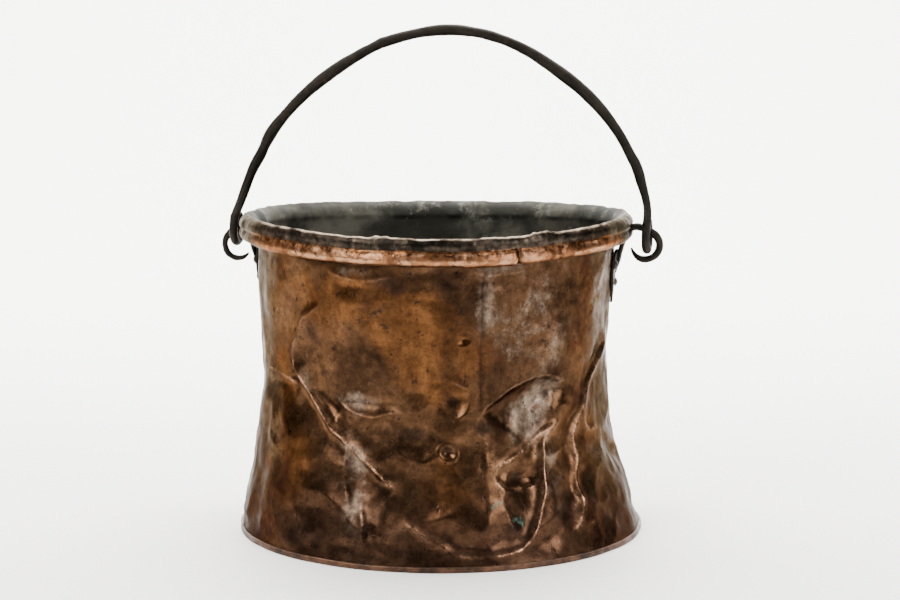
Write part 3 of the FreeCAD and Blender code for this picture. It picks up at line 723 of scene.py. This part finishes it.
class Graph:
    """Short names for building a node tree."""

    def __init__(self, tree):
        self.tree = tree

    def add(self, kind, **settings):
        node = self.tree.nodes.new(kind)
        for key, value in settings.items():
            setattr(node, key, value)
        return node

    def put(self, socket, value):
        if isinstance(value, bpy.types.NodeSocket):
            self.tree.links.new(value, socket)
        else:
            socket.default_value = value

    def where(self):
        return self.add("ShaderNodeTexCoord").outputs["Object"]

    def mask(self, name):
        return self.add("ShaderNodeAttribute", attribute_name=name).outputs["Fac"]

    def noise(self, scale, detail, roughness, warp=0.0, at=None):
        node = self.add("ShaderNodeTexNoise")
        self.put(node.inputs["Vector"], at or self.where())
        self.put(node.inputs["Scale"], scale)
        self.put(node.inputs["Detail"], detail)
        self.put(node.inputs["Roughness"], roughness)
        self.put(node.inputs["Distortion"], warp)
        return node.outputs["Fac"]

    def stretched(self, scale):
        node = self.add("ShaderNodeMapping")
        self.put(node.inputs["Vector"], self.where())
        node.inputs["Scale"].default_value = scale
        return node.outputs["Vector"]

    def edged(self, mask, noise_value, ragged, low, high):
        """A soft mask whose edge is broken up by noise."""
        shift = self.calc("MULTIPLY", self.calc("SUBTRACT", noise_value, 0.5), ragged * 2)
        return self.steps(self.calc("ADD", mask, shift), low, high)

    def steps(self, value, low, high, out_low=0.0, out_high=1.0):
        node = self.add("ShaderNodeMapRange", interpolation_type="SMOOTHSTEP", clamp=True)
        self.put(node.inputs["Value"], value)
        limits = {"From Min": low, "From Max": high, "To Min": out_low, "To Max": out_high}
        for key, number in limits.items():
            self.put(node.inputs[key], number)
        return node.outputs["Result"]

    def calc(self, operation, a, b):
        node = self.add("ShaderNodeMath", operation=operation)
        self.put(node.inputs[0], a)
        self.put(node.inputs[1], b)
        return node.outputs[0]

    def mix(self, amount, a, b, blend="MIX"):
        node = self.add("ShaderNodeMix", data_type="RGBA", blend_type=blend)
        self.put(node.inputs["Factor"], amount)
        self.put(node.inputs[6], a)
        self.put(node.inputs[7], b)
        return node.outputs[2]

    def mottled(self, surface, pattern, low, high):
        """A surface's dark and light colour, mixed by a pattern."""
        return self.mix(self.steps(pattern, low, high), *MOTTLES[surface])

    def cover(self, under, mask, share, over):
        """One colour laid over another where a mask says, at most by the share given."""
        return self.mix(self.calc("MULTIPLY", mask, share), under, over)

    def bump(self, height, distance, strength, under=None):
        node = self.add("ShaderNodeBump")
        self.put(node.inputs["Height"], height)
        self.put(node.inputs["Distance"], distance)
        self.put(node.inputs["Strength"], strength)
        if under:
            self.put(node.inputs["Normal"], under)
        return node.outputs["Normal"]


def side_colour(g, ash_and_sheen_mask, wear, speck, fine):
    """The wall's sides, from the bare tarnish up to the worn ridges."""
    brown = g.mottled("brown", g.noise(14, 6, 0.6, 0.4), 0.36, 0.64)
    streaks = g.noise(1.0, 5, 0.6, 0.3, at=g.stretched((34, 34, 7)))
    amber = g.mottled("amber", streaks, 0.36, 0.66)
    thin = g.edged(g.mask("amber"), g.noise(17, 6, 0.6, 0.4), 0.9, 0.30, 0.75)
    colour = g.mix(thin, brown, amber)
    dusty = g.edged(g.mask("sides"), g.noise(11, 5, 0.6, 0.4), 1.0, 0.2, 1.0)
    colour = g.cover(colour, dusty, 0.6, g.mottled("dust", g.noise(60, 7, 0.75), 0.36, 0.66))
    # pale grey patina, with painted sheen on the facets and dents that face the light
    colour = g.cover(colour, ash_and_sheen_mask, 0.8, g.mottled("ash_and_sheen", g.noise(95, 7, 0.75), 0.36, 0.66))
    # darker towards the foot, then soot and dark tarnish, with painted shade inside the dents
    uneven = g.calc("MULTIPLY", g.noise(9, 4, 0.6), 0.6)
    low_down = g.calc("ADD", g.steps(g.mask("height"), *BROWN_BELOW), uneven)
    colour = g.mix(g.steps(low_down, 0.5, 1.5, 0.0, 0.75), colour, FOOT_BROWN)
    soot_and_dent_shade_mask = g.edged(g.mask("soot_and_dent_shade"), g.noise(30, 6, 0.65, 0.5), 0.9, 0.45, 0.95)
    colour = g.cover(colour, soot_and_dent_shade_mask, 0.85, SOOT_AND_DENT_SHADE)
    # dark red-brown blots, small black specks, the seam's shadow and a fine mottle over everything
    colour = g.mix(g.steps(g.noise(36, 5, 0.7), 0.62, 0.70, 0.0, 0.7), colour, RED_BLOT)
    colour = g.mix(g.steps(speck, 0.62, 0.68, 0.0, 0.8), colour, BLACK_SPECK)
    colour = g.mix(g.steps(fine, 0.62, 0.70, 0.0, 0.7), colour, BLACK_SPECK)
    colour = g.cover(colour, g.mask("seam"), 0.7, SEAM_SHADOW)
    mottle = g.steps(g.noise(170, 7, 0.8), 0.30, 0.70, 0.55, 1.35)
    colour = g.mix(1.0, colour, mottle, "MULTIPLY")
    return g.mix(wear, colour, WORN_COPPER)


def rim_colour(g):
    """A blackened band over a copper bead, crusted along its top and bright along its lower edge."""
    height = g.mask("height")
    bead = g.mottled("bead", g.noise(50, 6, 0.7), 0.36, 0.64)
    crust = g.mottled("crust", g.noise(260, 5, 0.7), 0.42, 0.6)
    bead = g.mix(g.steps(height, *CRUST_FROM), bead, crust)
    rim_wear = g.calc("MULTIPLY", g.mask("rim_worn"), g.steps(g.noise(85, 7, 0.8), 0.49, 0.58))
    bead = g.mix(rim_wear, bead, WORN_BEAD)
    bead = g.mix(g.mask("notch"), bead, NOTCH_BLACK)
    band = g.mottled("band", g.noise(75, 7, 0.75), 0.40, 0.68)
    rim = g.mix(g.steps(height, *BAND_FROM), bead, band)
    crest_wear = g.calc("MULTIPLY", g.mask("crest"), g.steps(g.noise(60, 6, 0.7), 0.36, 0.58))
    rim = g.mix(crest_wear, rim, CREST_GREY)
    dusty = g.edged(g.mask("sides"), g.noise(28, 6, 0.7), 0.8, 0.35, 0.9)
    return g.cover(rim, dusty, 0.85, g.mottled("olive", g.noise(70, 7, 0.75), 0.36, 0.66))


def tin_colour(g):
    """The tinned inside, gone dark green-grey with pale blooms."""
    tin = g.mottled("tin", g.noise(20, 5, 0.6), 0.42, 0.62)
    return g.mix(g.steps(g.noise(22, 8, 0.8), 0.52, 0.66, 0.0, 0.6), tin, TIN_BLOOM)


def copper_wall_material():
    mat, g, shader = new_material("aged_copper")
    inside, roll = g.mask("inside"), g.mask("roll")
    speck = g.noise(150, 3, 0.6)
    fine = g.noise(420, 3, 0.6)
    # mask of the pale grey patina and the painted sheen, which also makes the metal duller
    ash_and_sheen_mask = g.edged(g.mask("ash_and_sheen"), g.noise(42, 8, 0.75, 0.2), 1.25, 0.40, 1.15)
    wear = g.calc("MULTIPLY", g.mask("worn"), g.steps(g.noise(75, 6, 0.8), 0.43, 0.62))
    green = g.edged(g.mask("green"), g.noise(150, 7, 0.8), 1.5, 0.62, 0.95)

    colour = g.mix(roll, side_colour(g, ash_and_sheen_mask, wear, speck, fine), rim_colour(g))
    colour = g.mix(inside, colour, tin_colour(g))
    g.put(shader.inputs["Base Color"], g.cover(colour, green, 0.75, VERDIGRIS))

    metal = 0.95
    for mask, less in ((ash_and_sheen_mask, 0.35), (inside, 0.55), (green, 0.9)):
        metal = g.calc("SUBTRACT", metal, g.calc("MULTIPLY", mask, less))
    g.put(shader.inputs["Metallic"], metal)
    dull = g.steps(g.noise(32, 5, 0.6), 0.3, 0.7, 0.24, 0.46)
    for mask, more in ((ash_and_sheen_mask, 0.06), (wear, -0.06), (inside, 0.22), (roll, 0.06)):
        dull = g.calc("ADD", dull, g.calc("MULTIPLY", mask, more))
    g.put(shader.inputs["Roughness"], dull)
    shader.inputs["Specular Tint"].default_value = rgb(0.42, 0.41, 0.40)
    pits = g.bump(g.steps(speck, 0.6, 0.8, 1.0, 0.0), 0.00035, 0.7)
    grain = g.bump(fine, 0.00012, 0.6, pits)
    ripple = g.bump(g.noise(70, 3, 0.5), 0.0006, 0.5, grain)
    g.put(shader.inputs["Normal"], ripple)
    return mat


def plain_copper_material(name, surface, tinned=False):
    """Copper without the wall's patches, tinned where its piece's mask says so."""
    mat, g, shader = new_material(name)
    metal, tin_metal = 0.75, 0.4
    colour = g.mottled(surface, g.noise(60, 5, 0.65), 0.35, 0.65)
    colour = g.mix(g.steps(g.noise(220, 4, 0.6), 0.62, 0.72, 0.0, 0.7), colour, GRIME)
    if tinned:
        inside = g.mask("inside")
        colour = g.mix(inside, colour, tin_colour(g))
        metal = g.steps(inside, 0.0, 1.0, metal, tin_metal)
    g.put(shader.inputs["Base Color"], colour)
    g.put(shader.inputs["Metallic"], metal)
    g.put(shader.inputs["Roughness"], g.steps(g.noise(90, 4, 0.6), 0.3, 0.7, 0.38, 0.62))
    g.put(shader.inputs["Normal"], g.bump(g.noise(260, 4, 0.6), 0.0004, 0.6))
    return mat


def forged_iron_material():
    mat, g, shader = new_material("forged_iron")
    colour = g.mottled("iron", g.noise(45, 5, 0.65), 0.35, 0.7)
    colour = g.mix(g.steps(g.noise(110, 5, 0.7), 0.58, 0.72, 0.0, 0.55), colour, RUST)
    g.put(shader.inputs["Base Color"], colour)
    shader.inputs["Specular Tint"].default_value = rgb(0.50, 0.46, 0.40)
    shader.inputs["Specular IOR Level"].default_value = 0.34
    shader.inputs["Metallic"].default_value = 0.35
    g.put(shader.inputs["Roughness"], g.steps(g.noise(80, 4, 0.6), 0.3, 0.7, 0.42, 0.66))
    scale = g.bump(g.noise(160, 5, 0.65), 0.0007, 0.6)
    g.put(shader.inputs["Normal"], g.bump(g.noise(600, 3, 0.6), 0.00012, 0.5, scale))
    return mat


def floor_material():
    mat, g, shader = new_material("pale_floor")
    g.put(shader.inputs["Base Color"], g.mix(g.noise(3, 3, 0.5), *MOTTLES["floor"]))
    shader.inputs["Roughness"].default_value = 0.6
    return mat


# ---------------------------------------------------------------- assemble
copper = copper_wall_material()
foot_copper = plain_copper_material("foot_copper", "foot", tinned=True)
rivet_copper = plain_copper_material("rivet_copper", "rivet")
iron = forged_iron_material()

wall = build_wall()
wall.data.materials.append(copper)
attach(wall, "kettle")
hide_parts("body_wall")

foot = build_foot()
foot.data.materials.append(foot_copper)
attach(foot, "kettle")
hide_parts("base_plate")

hoop = build_hoop()
hoop.data.materials.append(iron)
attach(hoop, "kettle")
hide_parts("rim_hoop")

# Node, body and slot; then the mesh's grain, the hammer flats' size and depth, and the seed
for node, body, slot, voxel, strokes, depth, seed in (
    ("bail_handle", "bail", "bail_iron", 0.9, 19.0, 0.75, 4),
    ("left_ear", "kettle", "ear_iron", 0.5, 8.0, 0.5, 12),
    ("right_ear", "kettle", "ear_iron", 0.5, 8.0, 0.5, 15),
):
    piece = hammered(node, node + "_forged", voxel, strokes, depth, seed)
    piece.data.materials.append(iron)
    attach(piece, body)

for name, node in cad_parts.items():
    if "rivet" in name or "burr" in name:
        node.data.materials.clear()
        node.data.materials.append(rivet_copper)


# ---------------------------------------------------------------- stage, light and camera, in metres
WORLD_COLOUR, WORLD_STRENGTH = (0.96, 0.955, 0.94, 1), 0.14

# Name, place, point aimed at, size, watts, colour
LIGHTS = (
    ("key", (-1.3, -1.5, 1.6), (0, 0, 0.12), (0.9, 1.4), 72, (1.0, 0.99, 0.97)),
    ("fill", (1.5, -1.4, 1.0), (0, 0, 0.12), (0.6, 1.4), 44, (1.0, 0.99, 0.98)),
    ("top", (0.0, 0.5, 2.6), (0, 0.2, 0.0), (2.6, 2.0), 128, (1.0, 0.99, 0.97)),
    ("backdrop", (0.0, 1.0, 2.4), (0, 3.0, 0.7), (5.0, 0.8), 620, (1.0, 0.985, 0.955)),
)


def build_floor():
    """Pale floor that sweeps up behind into a backdrop."""
    width, front, back, rise = 40.0, -20.0, 3.2, 12.0
    bend = 1.6
    sweep = arc((back - bend, bend), (bend, bend), 6, 91, 6)
    line = [(front, 0.0), (back - bend, 0.0), *sweep, (back, rise)]
    verts = [(x, y, z) for y, z in line for x in (-width / 2, width / 2)]
    faces = [(2 * i, 2 * i + 1, 2 * i + 3, 2 * i + 2) for i in range(len(line) - 1)]
    floor = new_mesh("floor", verts, faces)
    floor.data.transform(SHOWN_MATRIX)
    floor.data.materials.append(floor_material())


def add_light(name, place_at, aim, size, power, colour):
    """An area light, its place and aim turned with the side shown."""
    data = bpy.data.lights.new(name, "AREA")
    data.shape = "RECTANGLE"
    data.size, data.size_y = size
    data.energy = power
    data.color = colour
    obj = bpy.data.objects.new(name, data)
    bpy.context.scene.collection.objects.link(obj)
    obj.location = SHOWN_MATRIX @ Vector(place_at)
    obj.rotation_euler = (SHOWN_MATRIX @ Vector(aim) - obj.location).to_track_quat("-Z", "Y").to_euler()


def add_camera():
    """The photograph's camera: its distance and height, and how far it looks down and across (radians)."""
    distance, height, lens, sensor = 1.64455, 0.3969, 83.73, 36.0
    down, across = 0.1312, 0.0044
    data = bpy.data.cameras.new("camera")
    data.lens = lens
    data.sensor_width = sensor
    data.clip_start, data.clip_end = 0.05, 50
    cam = bpy.data.objects.new("camera", data)
    bpy.context.scene.collection.objects.link(cam)
    level = math.cos(down)
    look = Vector((math.sin(across) * level, math.cos(across) * level, -math.sin(down)))
    cam.location = SHOWN_MATRIX @ Vector((0, -distance, height))
    cam.rotation_euler = (SHOWN_MATRIX @ look).to_track_quat("-Z", "Y").to_euler()
    bpy.context.scene.camera = cam


build_floor()
for light in LIGHTS:
    add_light(*light)
world = bpy.data.worlds.new("soft_room")
world.use_nodes = True
background = world.node_tree.nodes["Background"]
background.inputs["Color"].default_value = WORLD_COLOUR
background.inputs["Strength"].default_value = WORLD_STRENGTH
bpy.context.scene.world = world
add_camera()

bpy.context.view_layer.update()
